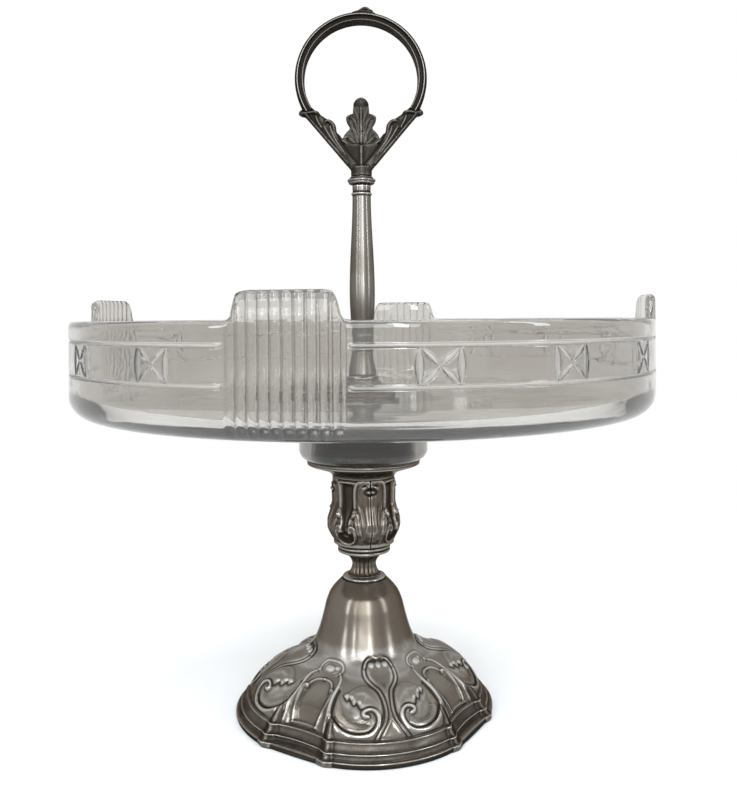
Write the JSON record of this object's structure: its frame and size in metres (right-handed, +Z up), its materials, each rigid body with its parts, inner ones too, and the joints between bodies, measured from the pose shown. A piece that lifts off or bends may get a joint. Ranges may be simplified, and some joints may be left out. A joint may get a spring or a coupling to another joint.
{
  "type": "fruit bowl",
  "caption": "Clear cut-glass bowl with raised fluted lobes on a lobed silver-plated foot and baluster stem, with a ring handle on a central column.",
  "frame": {"origin": "centre of the foot's underside, on the surface it stands on", "axes": "+Z up along the stem, the front faces -Y, the ring handle lies in the XZ plane"},
  "size_m": [0.26, 0.26, 0.3269],
  "materials": {
    "silver_plate": "tarnished silver plate, polished on the raised parts and dark in the hollows",
    "handle_silver": "darker tarnished silver plate on castings",
    "dark_silver": "unpolished dark plated metal",
    "rod_brass": "aged brass",
    "cork": "matte cork",
    "clear_glass": "clear pressed and cut glass"
  },
  "bodies": {
    "stand": {"foot_shell": "silver_plate", "clamp_washer": "rod_brass", "foot_nut": "rod_brass", "tie_rod": "rod_brass", "fluted_neck": "silver_plate", "knop_collar": "silver_plate", "knop_half_right": "silver_plate", "knop_half_left": "silver_plate", "saucer": "silver_plate", "seat_washer": "cork", "centring_plug": "dark_silver", "plug_nut": "rod_brass", "glass_dish": "clear_glass"},
    "lift_washer": {"handle_washer": "cork"},
    "handle": {"column_flange": "silver_plate", "column_tube": "silver_plate", "column_bush": "rod_brass", "column_cap": "silver_plate", "handle_fork": "handle_silver", "fork_leaf": "handle_silver", "handle_ring": "handle_silver", "ring_crest": "handle_silver"}
  },
  "joints": [
    {"name": "handle_rise", "type": "slide", "parent": "stand", "child": "lift_washer", "axis": [0, 0, 1], "range_m": [0, 0.0078]},
    {"name": "handle_turn", "type": "hinge", "parent": "lift_washer", "child": "handle", "pos_m": [0, 0, 0.1472], "axis": [0, 0, 1], "range_deg": [0, 2790]}
  ],
  "couplings": [
    {"joint": "handle_rise", "follows": "handle_turn", "m_per_rad": 0.00015915}
  ]
}
